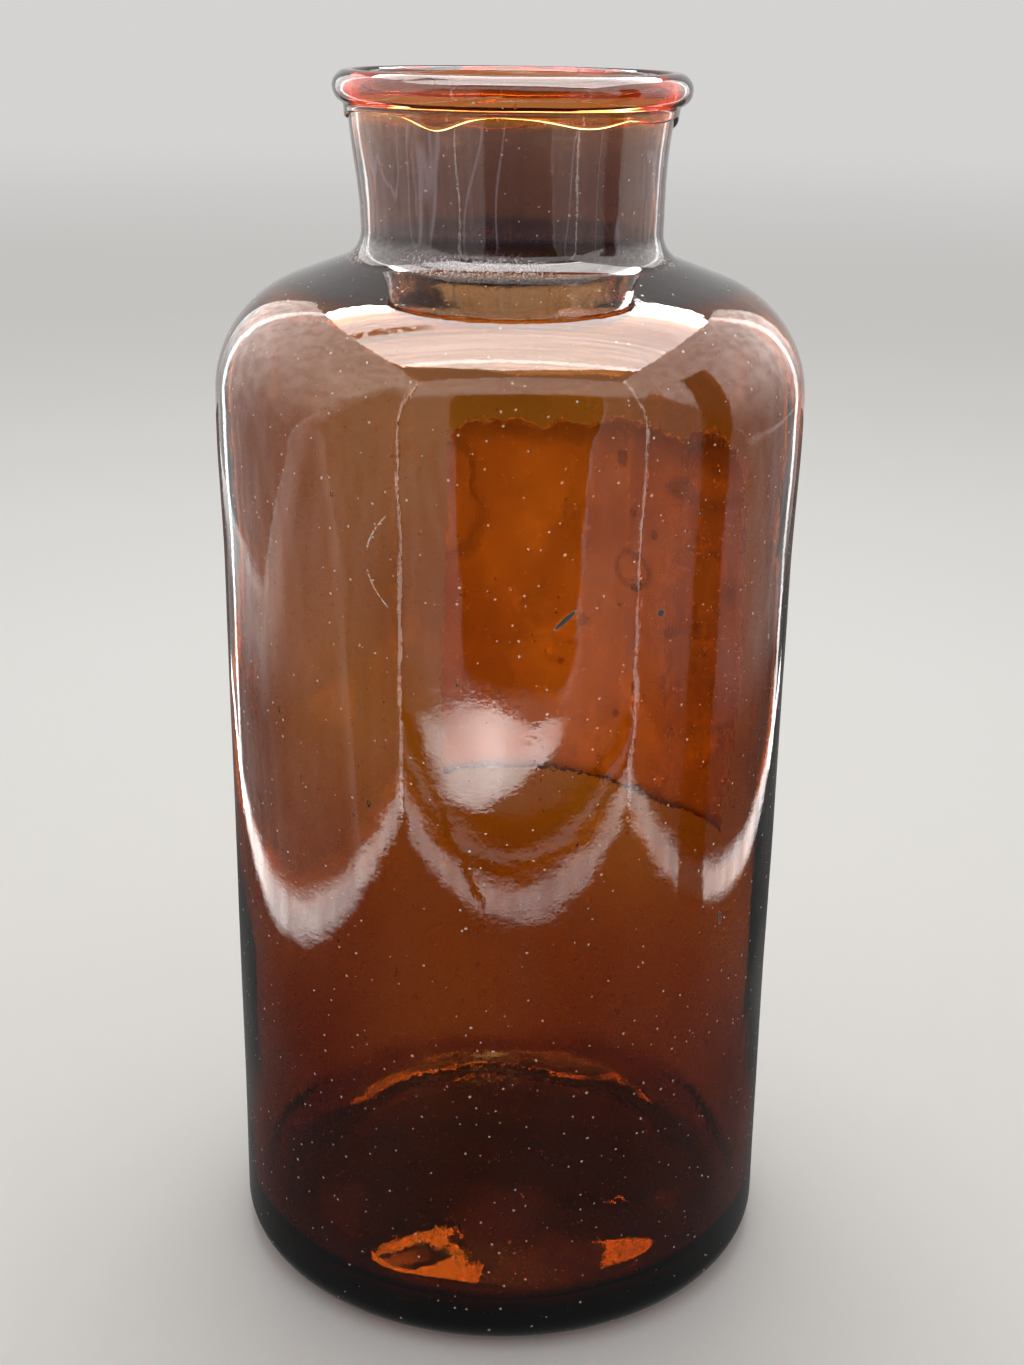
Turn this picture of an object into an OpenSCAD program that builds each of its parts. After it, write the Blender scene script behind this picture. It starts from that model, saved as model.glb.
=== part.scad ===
// Wide-mouth apothecary bottle in amber glass, made of the two gathers of glass it is built from:
// the bottle blown in a mould, and the ring laid round its cut neck and tooled into a rounded lip.
// A worn paper label, torn along its top, is pasted on the back. The front faces -Y.
// Millimetres, +Z up. The origin is the middle of the ring that the bottle stands on.

/* [Overall] */
// Height from the table to the top of the lip
total_h = 254; // [240:1:300]

/* [Body] */
// Largest outer diameter, just under the shoulder
body_d = 120; // [108:1:136]
// How far the wall stands in below the swelling under the shoulder
swell_t = 0.7; // [0.2:0.1:1.2]
// How far the heel stands in from the wall above it
heel_taper = 0.3; // [0:0.1:2]
// Outer rounding of the heel
heel_r = 7; // [4:0.5:10]
// Thickness of the body's wall
body_wall = 2.6; // [1.6:0.1:4]
// Straight wall between the swelling and the shoulder's rounding
swell_gap = 11; // [8:0.5:20]
// Height over which the wall swells from one diameter to the other
swell_h = 20; // [16:1:40]

/* [Base] */
// Thickness of the glass over the standing ring
floor_t = 6.5; // [4:0.5:10]
// Width of the flat ring that the bottle stands on
ring_w = 4; // [2:0.5:8]
// Rise of the underside in the middle
push_up = 4; // [2:0.5:8]
// Rise of the inner floor in the middle
floor_rise = 3; // [1:0.5:8]
// Inner rounding between the floor and the wall
inner_heel_r = 14; // [8:1:18]

/* [Shoulder] */
// Slope of the shoulder, in degrees from level
shoulder_slope = 20; // [10:1:30]
// Rounding between the wall and the shoulder
shoulder_r = 24; // [16:1:28]
// Thickness of the shoulder
shoulder_wall = 2.3; // [1.6:0.1:3]
// Hollow rounding at the foot of the neck
root_r = 6; // [3:0.5:7]

/* [Mouth] */
// Bore of the mouth, where a cork or a glass stopper seats
mouth_d = 61; // [50:0.5:70]
// Length of that bore below the neck's cut end
mouth_seat_h = 5.2; // [3:0.2:6]

/* [Neck] */
// Thickness of the neck
neck_wall = 1.75; // [1.4:0.05:2.4]
// Length from the foot of the neck to its cut end, inside the lip
neck_h = 28.6; // [26:0.2:40]
// Distance below the cut end at which the neck starts to open
flare_h = 16.9; // [15:0.1:18]
// Angle at which the neck opens towards its end, in degrees
flare_a = 7; // [5:0.5:9]
// Rounding between the waist and the opening stretch
flare_r = 115; // [60:5:120]

/* [Lip] */
// Height of the lip's glass above the neck's cut end
lip_cover = 5.8; // [4.5:0.1:6]
// Radius of the bead's section
bead_r = 3.2; // [2.8:0.1:4]
// Rounding of the bore's upper edge
rim_r = 1.4; // [0.8:0.1:2]
// Level stretch of the rim between that rounding and the bead
rim_flat = 0.1; // [0.1:0.1:3]
// Thickness of the skirt that clings to the neck under the bead
skirt_t = 0.65; // [0.5:0.05:0.8]
// Hollow rounding between the bead and the skirt
skirt_fillet = 1.2; // [0.6:0.1:1.5]
// Least length of the skirt below the bead, between the lobes of its hem
hem_short = 1; // [0.9:0.1:1.6]
// Greatest length of the skirt below the bead, at the longest lobe
hem_long = 4.4; // [3:0.1:4.8]
// Slope of the hem's edge, in degrees from level
hem_bevel = 20; // [0:5:25]

/* [Label] */
// Height of the label, from its foot to the highest point of its torn edge
label_h = 92; // [60:1:100]
// Width of the label, measured round the wall
label_w = 83; // [40:1:120]
// Thickness of the label's paper
label_t = 0.15; // [0.1:0.05:0.3]
// Thickness of the paste between the wall and the paper
paste_t = 0.1; // [0.05:0.05:0.2]
// Distance from the swelling's top down to the highest point of the torn edge
label_drop = 5; // [5:0.5:20]
// Bearing of the label's middle, in degrees from the front towards +X
label_bearing = 155; // [0:5:355]

/* [Hidden] */

// Sides of a circle in the display mesh, and the greatest steps of an arc and of a dome, in degrees
$fn = 128;
arc_step = 4;
dome_step = 1.5;

body_r = body_d / 2;
wall_r = body_r - swell_t;
heel_out_r = wall_r - heel_taper;
mouth_r = mouth_d / 2;
neck_end_r = mouth_r + neck_wall;
neck_r = neck_end_r - flare_h * tan(flare_a);
neck_in_r = neck_r - neck_wall;
lip_r = mouth_r + rim_r + rim_flat + bead_r;

// Heights of the neck, from the top of the lip down
neck_end_z = total_h - lip_cover;
neck_root_z = neck_end_z - neck_h;
flare_z = neck_end_z - flare_h;
mouth_seat_z = neck_end_z - mouth_seat_h;

// Heights of the shoulder and of the swelling below it
shoulder_z = shoulder_out_z(body_r);
swell_top_z = shoulder_z - shoulder_r * tan((90 - shoulder_slope) / 2) - swell_gap;
swell_foot_z = swell_top_z - swell_h;
swell_round_r = 250;

// Inside the flared stretch, the rounding between the waist and the mouth's straight bore
flare_in_r = 40;

// Radii of the flat standing ring, and of the flat rim round the domed inner floor
ring_out_r = heel_out_r - heel_r;
ring_in_r = ring_out_r - ring_w;
inner_heel_x = heel_out_r - body_wall;
floor_rim_w = 2;
floor_dome_r = inner_heel_x - inner_heel_r - floor_rim_w;

// The bead's middle, its lowest point, and the foot of the skirt before the hem is cut
bead_x = lip_r - bead_r;
bead_z = total_h - bead_r;
bead_low_z = bead_z - bead_r;
hem_spare = 0.5;
cut_clear = 1;
skirt_foot_z = bead_low_z - hem_long - hem_spare;

// Lobes of glass that ran down the neck before the lip set. Each has its bearing in degrees
// from the front towards +X, its share of the greatest length, and its half width in degrees.
HEM_LOBES = [
    [-25, 0.78, 10],
    [27, 0.60, 15],
    [60, 0.42, 20],
    [96, 1.00, 15],
    [140, 0.35, 18],
    [186, 0.80, 16],
    [228, 0.45, 20],
    [268, 0.62, 16],
];
hem_steps = 120;

// The label's heights and the angle that it covers
label_top_z = swell_top_z - label_drop;
label_foot_z = label_top_z - label_h;
label_a = label_w / wall_r * 180 / PI;

// The label's torn edge, from its left end seen from outside: share of its width, and how far
// down the tear runs there
TEAR = [
    [0, 6], [0.05, 2], [0.11, 0.3], [0.21, 0.6], [0.24, 3.7], [0.32, 2], [0.4, 0.3],
    [0.5, 0.3], [0.56, 2.5], [0.66, 2], [0.73, 5], [0.81, 3], [0.95, 4.5], [1, 9],
];
tear_steps = 64;
fibre_h = 0.6;

// Height of the shoulder's sloping line at a radius, on the outside and on the inside
function shoulder_out_z(r) = neck_root_z - (r - neck_r) * tan(shoulder_slope);
function shoulder_in_z(r) = shoulder_out_z(r) - shoulder_wall / cos(shoulder_slope);

// Outer radius of the opening stretch of the neck at a height
function flare_x(z) = neck_r + (z - flare_z) * tan(flare_a);

// Points of an arc round a centre, from one angle to another
function arc(centre, r, from, to) =
    let (n = max(2, ceil(abs(to - from) / arc_step)))
    [for (i = [0:n]) let (a = from + (to - from) * i / n) centre + r * [cos(a), sin(a)]];

// Corner b of the outline a, b, c, rounded to the radius r
function corner(a, b, c, r) =
    let (
        u = (a - b) / norm(a - b),
        v = (c - b) / norm(c - b),
        half = acos(u * v) / 2,
        centre = b + (u + v) / norm(u + v) * r / sin(half),
        side = sign(cross(b - a, c - b)),
        start = b + u * r / tan(half) - centre,
        from = atan2(start.y, start.x)
    )
    arc(centre, r, from, from + side * (180 - 2 * half));

// Outline through corners given as radius, height and rounding
function rounded(path) =
    let (n = len(path))
    [for (i = [0:n - 1])
        let (
            p = path[i],
            before = path[(i + n - 1) % n],
            after = path[(i + 1) % n]
        )
        each p.z == 0
            ? [[p.x, p.y]]
            : corner([before.x, before.y], [p.x, p.y], [after.x, after.y], p.z)];

// Shallow dome from the axis out to its edge, as corners without rounding
function dome(edge_r, edge_z, rise) =
    let (
        r = (edge_r * edge_r + rise * rise) / (2 * rise),
        reach = asin(edge_r / r),
        n = ceil(reach / dome_step)
    )
    [for (i = [0:n]) let (a = reach * i / n) [r * sin(a), edge_z + rise - r * (1 - cos(a)), 0]];

function reverse(list) = [for (i = [len(list) - 1:-1:0]) list[i]];

// Corners of the bottle's outside, from the middle of the underside up to the neck's cut end
function body_outside() = concat(
    dome(ring_in_r, 0, push_up),
    [
        [heel_out_r, 0, heel_r],
        [wall_r, swell_foot_z, swell_round_r],
        [body_r, swell_top_z, swell_round_r],
        [body_r, shoulder_z, shoulder_r],
        [neck_r, neck_root_z, root_r],
        [neck_r, flare_z, flare_r],
        [neck_end_r, neck_end_z, 0],
    ]
);

// Corners of the inside, from the mouth down to the middle of the floor
function body_inside() = concat(
    [
        [mouth_r, neck_end_z, 0],
        [mouth_r, mouth_seat_z, 0],
        [neck_in_r, flare_z, flare_in_r],
        [neck_in_r, shoulder_in_z(neck_in_r), root_r + neck_wall],
        [body_r - body_wall, shoulder_in_z(body_r - body_wall), shoulder_r - body_wall],
        [body_r - body_wall, swell_top_z, swell_round_r],
        [wall_r - body_wall, swell_foot_z, swell_round_r],
        [inner_heel_x, floor_t, inner_heel_r],
    ],
    reverse(dome(floor_dome_r, floor_t, floor_rise))
);

// Outline of the lip: over the rim and round the bead, into the skirt and back up its seat
function lip_outline() =
    let (
        bead = [bead_x, bead_z],
        out = [cos(flare_a), -sin(flare_a)],
        down = -[sin(flare_a), cos(flare_a)],
        skirt_foot = [flare_x(skirt_foot_z) + skirt_t / cos(flare_a), skirt_foot_z],
        across = skirt_fillet - (bead - skirt_foot) * out,
        apart = bead_r + skirt_fillet,
        hollow = bead + across * out + sqrt(apart * apart - across * across) * down,
        to_hollow = atan2(hollow.y - bead.y, hollow.x - bead.x)
    )
    concat(
        arc([mouth_r + rim_r, total_h - rim_r], rim_r, 180, 90),
        arc(bead, bead_r, 90, to_hollow),
        arc(hollow, skirt_fillet, to_hollow + 180, 180 - flare_a),
        [
            skirt_foot,
            [flare_x(skirt_foot_z), skirt_foot_z],
            [neck_end_r, neck_end_z],
            [mouth_r, neck_end_z],
        ]
    );

// Share of the hem's greatest length at a bearing, from the lobes near it
function apart_deg(a, b) = abs((a - b + 540) % 360 - 180);
function hem_share(a) = max([for (lobe = HEM_LOBES) lobe[1] * exp(-pow(apart_deg(a, lobe[0]) / lobe[2], 2))]);
function hem_z(a) = bead_low_z - hem_short - (hem_long - hem_short) * hem_share(a);

// Outer radius of the wall at a height between the heel and the shoulder
function wall_x(z) = lookup(z, [for (p = rounded(body_outside())) if (p.x > neck_end_r) [p.y, p.x]]);

// Section of the label before its top is torn, on the line of the wall's outside
function label_outline() =
    let (line = concat(
        [[wall_x(label_foot_z), label_foot_z]],
        [for (p = rounded(body_outside())) if (p.y > label_foot_z && p.y < label_top_z) p],
        [[wall_x(label_top_z), label_top_z]]
    ))
    concat(
        [for (p = line) p + [paste_t, 0]],
        [for (p = reverse(line)) p + [paste_t + label_t, 0]]
    );

// Height of the torn edge at a share of the label's width, roughened by the paper's fibres
function fibres(t) = fibre_h * (1 - cos(360 * 19 * t)) * (1 + sin(360 * 7 * t)) / 4;
function tear_z(t) = label_top_z - lookup(t, TEAR) - fibres(t);

// Everything under the wavy hem, as a ring whose top follows the hem and rises outwards
module below_hem() {
    in_r = neck_r - cut_clear;
    out_r = lip_r + cut_clear;
    lift = tan(hem_bevel);
    foot_z = skirt_foot_z - cut_clear;
    skirt_x = flare_x(bead_low_z);
    rings = [for (i = [0:hem_steps - 1])
        let (a = 360 * i / hem_steps, dir = [sin(a), -cos(a)])
        [
            [in_r * dir.x, in_r * dir.y, foot_z],
            [out_r * dir.x, out_r * dir.y, foot_z],
            [out_r * dir.x, out_r * dir.y, hem_z(a) + (out_r - skirt_x) * lift],
            [in_r * dir.x, in_r * dir.y, hem_z(a) - (skirt_x - in_r) * lift],
        ]];
    faces = [for (i = [0:hem_steps - 1], k = [0:3])
        let (
            a = 4 * i + k,
            b = 4 * i + (k + 1) % 4,
            c = 4 * ((i + 1) % hem_steps) + (k + 1) % 4,
            d = 4 * ((i + 1) % hem_steps) + k
        )
        each [[a, b, c], [a, c, d]]];
    polyhedron([for (ring = rings) each ring], faces);
}

// The bottle as it leaves the mould: base, body, shoulder and neck in one wall of glass
module bottle_body() {
    color("#5a2410")
        rotate_extrude()
            polygon(rounded(concat(body_outside(), body_inside())));
}

// The ring of glass that closes the neck's cut end: rim, bead and the skirt with its wavy hem
module applied_lip() {
    color("#a8501c")
        difference() {
            rotate_extrude()
                polygon(lip_outline());
            below_hem();
        }
}

// Everything over the torn edge, as a piece of a ring whose underside follows the tear. No step
// falls on an end of the label, where its edge would lie in the label's own end face.
module above_tear() {
    in_r = wall_r - cut_clear - heel_taper;
    out_r = body_r + cut_clear;
    top_z = label_top_z + cut_clear;
    columns = [for (i = [-1:tear_steps])
        let (t = (i + 0.5) / tear_steps, a = label_bearing + label_a * (t - 0.5), dir = [sin(a), -cos(a)])
        [
            [in_r * dir.x, in_r * dir.y, tear_z(t)],
            [out_r * dir.x, out_r * dir.y, tear_z(t)],
            [out_r * dir.x, out_r * dir.y, top_z],
            [in_r * dir.x, in_r * dir.y, top_z],
        ]];
    last = 4 * (len(columns) - 1);
    sides = [for (i = [0:len(columns) - 2], k = [0:3])
        let (a = 4 * i + k, b = 4 * i + (k + 1) % 4, c = b + 4, d = a + 4)
        each [[a, b, c], [a, c, d]]];
    polyhedron(
        [for (column = columns) each column],
        concat(sides, [[0, 3, 2, 1], [last, last + 1, last + 2, last + 3]])
    );
}

// The paper label on the back: a thin sheet that follows the wall, torn along its top
module paper_label() {
    color("#c9b48c")
        difference() {
            rotate([0, 0, label_bearing - 90 - label_a / 2])
                rotate_extrude(angle = label_a)
                    polygon(label_outline());
            above_tear();
        }
}

bottle_body();
applied_lip();
paper_label();
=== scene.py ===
"""Apothecary bottle of amber glass with an applied lip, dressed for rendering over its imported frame.

Everything is in metres in the frame's own axes: the bottle stands on z = 0 round the Z axis and
the photograph was taken from -Y. Outlines are written in millimetres, as in the part's source.
"""

import math

import bpy
import numpy as np
from mathutils import Matrix, Vector


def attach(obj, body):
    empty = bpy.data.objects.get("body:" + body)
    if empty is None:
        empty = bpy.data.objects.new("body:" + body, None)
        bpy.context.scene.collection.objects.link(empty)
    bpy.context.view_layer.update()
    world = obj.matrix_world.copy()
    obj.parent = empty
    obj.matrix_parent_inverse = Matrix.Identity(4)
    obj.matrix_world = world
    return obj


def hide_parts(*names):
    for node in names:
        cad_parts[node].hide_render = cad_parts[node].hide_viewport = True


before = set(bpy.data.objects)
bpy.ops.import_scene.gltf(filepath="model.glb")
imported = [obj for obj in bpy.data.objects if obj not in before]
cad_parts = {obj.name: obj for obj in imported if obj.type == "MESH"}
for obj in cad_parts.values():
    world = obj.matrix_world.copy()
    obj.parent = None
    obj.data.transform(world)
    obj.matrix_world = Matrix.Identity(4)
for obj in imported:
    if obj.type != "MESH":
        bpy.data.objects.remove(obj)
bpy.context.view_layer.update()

MM = 0.001

# Outline of the body, in millimetres

BODY_R = 60.0
WALL_R = 59.3
HEEL_R = 59.0
HEEL_ROUND = 7.0
SWELL_FOOT_Z, SWELL_TOP_Z, SWELL_ROUND = 160.9, 180.9, 250.0
SHOULDER_Z, SHOULDER_ROUND, SHOULDER_SLOPE = 208.74, 24.0, math.radians(20)
NECK_R, NECK_ROOT_Z, ROOT_ROUND = 30.175, 219.6, 6.0
FLARE_Z, FLARE_ROUND, FLARE_A = 231.3, 115.0, math.radians(7)
NECK_END_R, NECK_END_Z = 32.25, 248.2
MOUTH_R = 30.5
TOP_Z = 254.0
RING_W, PUSH_UP = 4.0, 4.0
CONE_FOOT_Z = 238.6

# Thickness of the wall, shoulder and neck, what the lower wall has more, and the inside's floor
# with its rounded corner
WALL_T, SHOULDER_T, NECK_T = 2.6, 2.3, 1.75
LOW_WALL_EXTRA = 0.95
FLOOR_Z, FLOOR_RISE, FLOOR_ROUND = 4.6, 4.6, 10.0

# The paper label on the back: its middle's bearing from the front towards +X, and its torn top as
# share of its width from the left end, seen from outside, and depth of the tear
LABEL_BEARING, LABEL_W = 155.0, 83.0
LABEL_FOOT_Z, LABEL_TOP_Z = 83.9, 175.9
PASTE_T, PAPER_T = 0.1, 0.15
TEAR = [
    (0, 6), (0.05, 2), (0.11, 0.3), (0.21, 0.6), (0.24, 3.7), (0.32, 2), (0.4, 0.3),
    (0.5, 0.3), (0.56, 2.5), (0.66, 2), (0.73, 5), (0.81, 3), (0.95, 4.5), (1, 9),
]

# Points round the body and the lip, and the gap that keeps their fused faces apart
BODY_STEPS = 288
LIP_STEPS = 540
SEAT_GAP = 0.02


def arc(cx, cz, r, start, end, n):
    """n + 1 points of an arc round (cx, cz), between two angles in degrees."""
    a = np.radians(np.linspace(start, end, n + 1))
    return np.column_stack([cx + r * np.cos(a), cz + r * np.sin(a)])


def rounded(path, step=4.0):
    """The open outline through (radius, height, rounding) corners, with its corners rounded."""
    out = [np.array([path[0][:2]], float)]
    for before, here, after in zip(path, path[1:], path[2:]):
        a, b, c = (np.array(p[:2], float) for p in (before, here, after))
        r = here[2]
        if r == 0:
            out.append(b[None])
            continue
        u, v = (a - b) / np.linalg.norm(a - b), (c - b) / np.linalg.norm(c - b)
        half = math.acos(np.clip(u @ v, -1, 1)) / 2
        centre = b + (u + v) / np.linalg.norm(u + v) * r / math.sin(half)
        side = np.sign(np.cross(b - a, c - b))
        first = b + u * r / math.tan(half) - centre
        start = math.degrees(math.atan2(first[1], first[0]))
        sweep = 180 - 2 * math.degrees(half)
        out.append(arc(*centre, r, start, start + side * sweep, max(3, round(sweep / step))))
    out.append(np.array([path[-1][:2]], float))
    return np.concatenate(out)


def resampled(line, step):
    """The same line with points no further apart than step."""
    out = [line[:1]]
    for a, b in zip(line, line[1:]):
        n = max(1, math.ceil(np.linalg.norm(b - a) / step))
        out.append(a + (b - a) * np.linspace(0, 1, n + 1)[1:, None])
    return np.concatenate(out)


def dome(edge_r, edge_z, rise, n=14):
    """A shallow dome from the axis out to its edge."""
    r = (edge_r**2 + rise**2) / (2 * rise)
    a = np.linspace(0, math.asin(edge_r / r), n + 1)
    return [(r * math.sin(t), edge_z + rise - r * (1 - math.cos(t)), 0) for t in a]


def shoulder_z(r, drop=0.0):
    return NECK_ROOT_Z - (r - NECK_R) * math.tan(SHOULDER_SLOPE) - drop


def flare_r(z):
    """Radius of the neck's outside in its opening stretch."""
    return NECK_R + (z - FLARE_Z) * math.tan(FLARE_A)


# Hem of the lip: lobes of glass that ran down the neck before it set

# Bearing from the front towards +X in degrees, share of the greatest length, half width
HEM_LOBES = [
    (-25, 0.78, 10), (27, 0.60, 15), (60, 0.42, 20), (96, 1.00, 15),
    (140, 0.35, 18), (186, 0.80, 16), (228, 0.45, 20), (268, 0.62, 16),
]
BEAD_X, BEAD_Z, BEAD_R = 32.0, 250.8, 3.2
RIM_ROUND = 1.4
HEM_SHORT, HEM_LONG = 1.0, 4.4


def hem_share(deg):
    """0 to 1: how far the hem runs down at a bearing."""
    apart = lambda b: np.abs((deg - b + 540) % 360 - 180)
    return np.max([s * np.exp(-((apart(b) / w) ** 2)) for b, s, w in HEM_LOBES], axis=0)


def hem_z(deg):
    return BEAD_Z - BEAD_R - HEM_SHORT - (HEM_LONG - HEM_SHORT) * hem_share(deg)


# Hand-made unevenness

def ripple(points, seed, waves, shortest, longest, amplitude, stretch=(1, 1, 1)):
    """A smooth uneven height at each point (mm), as a sum of waves in random directions."""
    rng = np.random.default_rng(seed)
    total = np.zeros(points.shape[:-1])
    for _ in range(waves):
        way = rng.normal(size=3) / np.array(stretch)
        length = rng.uniform(shortest, longest)
        k = way / np.linalg.norm(way) * 2 * math.pi / length
        total += np.sin(points @ k + rng.uniform(0, 2 * math.pi))
    return amplitude * total / math.sqrt(waves / 2)


def smooth(x, a, b):
    t = np.clip((x - a) / (b - a), 0, 1)
    return t * t * (3 - 2 * t)


def lean(points):
    """The neck and lip stand a little to the left of the body's axis, as the photograph shows."""
    z = points[..., 2]
    points[..., 0] -= 0.5 * smooth(z, 226, 241) - 0.25 * smooth(z, 243, 250)
    return points


def revolve(radius, height, deg):
    """Points of a revolved line: radius and height may differ from bearing to bearing."""
    a = np.radians(deg)
    x, y = radius * np.sin(a), -radius * np.cos(a)
    return np.stack([x, y, np.broadcast_to(height, x.shape)], axis=-1)


def mesh_object(name, verts, faces, seat):
    """A smooth-shaded object from points in mm. seat is 1 on faces where two pieces are fused."""
    me = bpy.data.meshes.new(name)
    me.from_pydata((verts * MM).tolist(), [], faces)
    me.polygons.foreach_set("use_smooth", [True] * len(me.polygons))
    me.attributes.new("seat", "FLOAT", "FACE").data.foreach_set("value", np.asarray(seat, np.float32))
    me.validate()
    me.update()
    obj = bpy.data.objects.new(name, me)
    bpy.context.scene.collection.objects.link(obj)
    return obj


def bridge(rows, steps, closed=False, flip=False):
    """Faces between the rows of a revolved grid. flip turns their normals round."""
    faces = []
    for i in range(rows if closed else rows - 1):
        j = (i + 1) % rows
        for k in range(steps):
            m = (k + 1) % steps
            face = (i * steps + k, i * steps + m, j * steps + m, j * steps + k)
            faces.append(face[::-1] if flip else face)
    return faces


# The body: base, wall, shoulder and neck in one piece of glass

def body_lines():
    """Outside from the middle of the underside up to the cone of the neck, and inside from the
    mouth down to the middle of the floor, as (radius, height) in mm."""
    ring_in = HEEL_R - HEEL_ROUND - RING_W
    cone_z = CONE_FOOT_Z + 4
    outside = rounded(
        dome(ring_in, 0.0, PUSH_UP)
        + [
            (HEEL_R, 0.0, HEEL_ROUND),
            (WALL_R, SWELL_FOOT_Z, SWELL_ROUND),
            (BODY_R, SWELL_TOP_Z, SWELL_ROUND),
            (BODY_R, SHOULDER_Z, SHOULDER_ROUND),
            (NECK_R, NECK_ROOT_Z, ROOT_ROUND),
            (NECK_R, FLARE_Z, FLARE_ROUND),
            (flare_r(cone_z), cone_z, 0),
        ],
        step=3.0,
    )
    drop = SHOULDER_T / math.cos(SHOULDER_SLOPE)
    neck_in = NECK_R - NECK_T
    inner = BODY_R - WALL_T
    inside = rounded(
        [
            (MOUTH_R, NECK_END_Z, 0),
            (MOUTH_R, 243.0, 25),
            (neck_in, FLARE_Z, 40),
            (neck_in, shoulder_z(neck_in, drop), ROOT_ROUND + NECK_T),
            (inner, shoulder_z(inner, drop), SHOULDER_ROUND - WALL_T),
            (inner, SWELL_TOP_Z, SWELL_ROUND),
            (WALL_R - WALL_T, SWELL_FOOT_Z, SWELL_ROUND),
            (HEEL_R - WALL_T, FLOOR_Z, FLOOR_ROUND),
        ]
        + dome(HEEL_R - WALL_T - FLOOR_ROUND - 2, FLOOR_Z, FLOOR_RISE)[::-1],
        step=3.0,
    )
    return resampled(outside[:-1], 1.6), resampled(inside, 1.6)


def away_from_axis(p):
    return p[..., :2] / np.maximum(np.linalg.norm(p[..., :2], axis=-1, keepdims=True), 1e-6)


def outer_waves(p):
    """How far the mould's print and the pull of the glass move the outside from its true form (mm)."""
    z = p[..., 2]
    wall = ripple(p, 3, 12, 40, 110, 0.07) + ripple(p, 5, 14, 9, 22, 0.010, (1, 1, 2)) - 0.12
    neck = ripple(p, 43, 12, 6, 14, 0.012, (1, 1, 7))
    wall = wall * smooth(z, 4, 30) * (1 - smooth(z, 222, 232))
    return wall + neck * smooth(z, 218, 226) * (1 - smooth(z, 234, 239))


def make_body():
    deg = np.arange(BODY_STEPS) * 360 / BODY_STEPS
    outside, inside = body_lines()
    cone_z = outside[-1, 1]
    rows = [revolve(np.full(BODY_STEPS, r), z, deg) for r, z in outside[1:]]
    hem = hem_z(deg)
    for t in np.linspace(0, 1, 9)[1:]:
        z = cone_z + (hem - cone_z) * t
        rows.append(revolve(flare_r(z), z, deg))
    hem_row = len(rows) - 1
    for t in np.linspace(0, 1, 7)[1:]:
        z = hem + (NECK_END_Z - hem) * t
        rows.append(revolve(flare_r(z), z, deg))
    rows.append(revolve(np.full(BODY_STEPS, (NECK_END_R + MOUTH_R) / 2), NECK_END_Z, deg))
    end_row = len(rows)
    rows += [revolve(np.full(BODY_STEPS, r), z, deg) for r, z in inside[:-1]]
    grid = np.stack(rows)

    # Unevenness: the outside is nearly true, the inside carries most of the wall's variation
    out, inn = grid[:end_row], grid[end_row:]
    out[..., :2] += away_from_axis(out) * outer_waves(out)[..., None]
    z = inn[..., 2]
    r = np.linalg.norm(inn[..., :2], axis=-1)
    wall = ripple(inn, 11, 14, 35, 90, 0.22, (1, 1, 2)) + ripple(inn, 13, 18, 10, 26, 0.030, (1, 1, 5))
    wall = wall * smooth(z, 22, 55) - LOW_WALL_EXTRA * (1 - smooth(z, 24, 110)) * smooth(r, 28, 46)
    neck = ripple(inn, 41, 16, 4, 10, 0.022, (1, 1, 8)) * smooth(z, 214, 224) * (1 - smooth(z, 238, 243))
    inn[..., :2] += away_from_axis(inn) * (wall * (1 - 0.75 * smooth(z, 214, 226)) + neck)[..., None]
    inn[..., 2] += ripple(inn, 17, 12, 14, 40, 0.18) * (1 - smooth(z, 9, 16))

    verts = lean(grid.reshape(-1, 3))
    faces = bridge(len(rows), BODY_STEPS)
    row_of = np.repeat(np.arange(len(rows) - 1), BODY_STEPS)
    seat = ((row_of >= hem_row) & (row_of < end_row)).astype(float)
    poles = np.array([[0, 0, outside[0, 1]], [0, 0, inside[-1, 1]]])
    low, high = len(verts), len(verts) + 1
    last = (len(rows) - 1) * BODY_STEPS
    fans = []
    for k in range(BODY_STEPS):
        m = (k + 1) % BODY_STEPS
        fans += [(low, m, k), (high, last + k, last + m)]
    verts = np.concatenate([verts, poles])
    seeds, seed_faces = make_seeds(len(verts))
    verts = np.concatenate([verts, seeds])
    faces += fans + seed_faces
    seat = np.concatenate([seat, np.zeros(len(fans) + len(seed_faces))])
    return mesh_object("bottle_glass", verts, faces, seat)


def make_seeds(start, count=150):
    """Small bubbles in the wall, drawn out upwards, with their normals turned in to the air."""
    rng = np.random.default_rng(23)
    lat, lon = 5, 8
    a = np.linspace(0, math.pi, lat + 1)[1:-1]
    b = np.arange(lon) * 2 * math.pi / lon
    ball = [(0, 0, -1)]
    ball += [(math.sin(t) * math.cos(u), math.sin(t) * math.sin(u), -math.cos(t)) for t in a for u in b]
    ball += [(0, 0, 1)]
    ball = np.array(ball)
    ring = lambda i, k: 1 + i * lon + k % lon
    inward = []
    for k in range(lon):
        inward.append((0, ring(0, k), ring(0, k + 1)))
        inward.append((len(ball) - 1, ring(lat - 2, k + 1), ring(lat - 2, k)))
        for i in range(lat - 2):
            inward.append((ring(i, k), ring(i + 1, k), ring(i + 1, k + 1), ring(i, k + 1)))
    verts, faces = [], []
    for _ in range(count):
        bearing, z = rng.uniform(0, 2 * math.pi), rng.uniform(22, 186)
        size = 0.12 + 0.28 * rng.random() ** 3
        long = size * rng.uniform(1.1, 3.2)
        r = 58.0 + rng.uniform(-0.5, 0.5)
        centre = np.array([r * math.sin(bearing), -r * math.cos(bearing), z])
        faces += [tuple(start + len(verts) * len(ball) + i for i in f) for f in inward]
        verts.append(centre + ball * [size, size, long])
    return np.concatenate(verts), faces


# The applied lip

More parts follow.
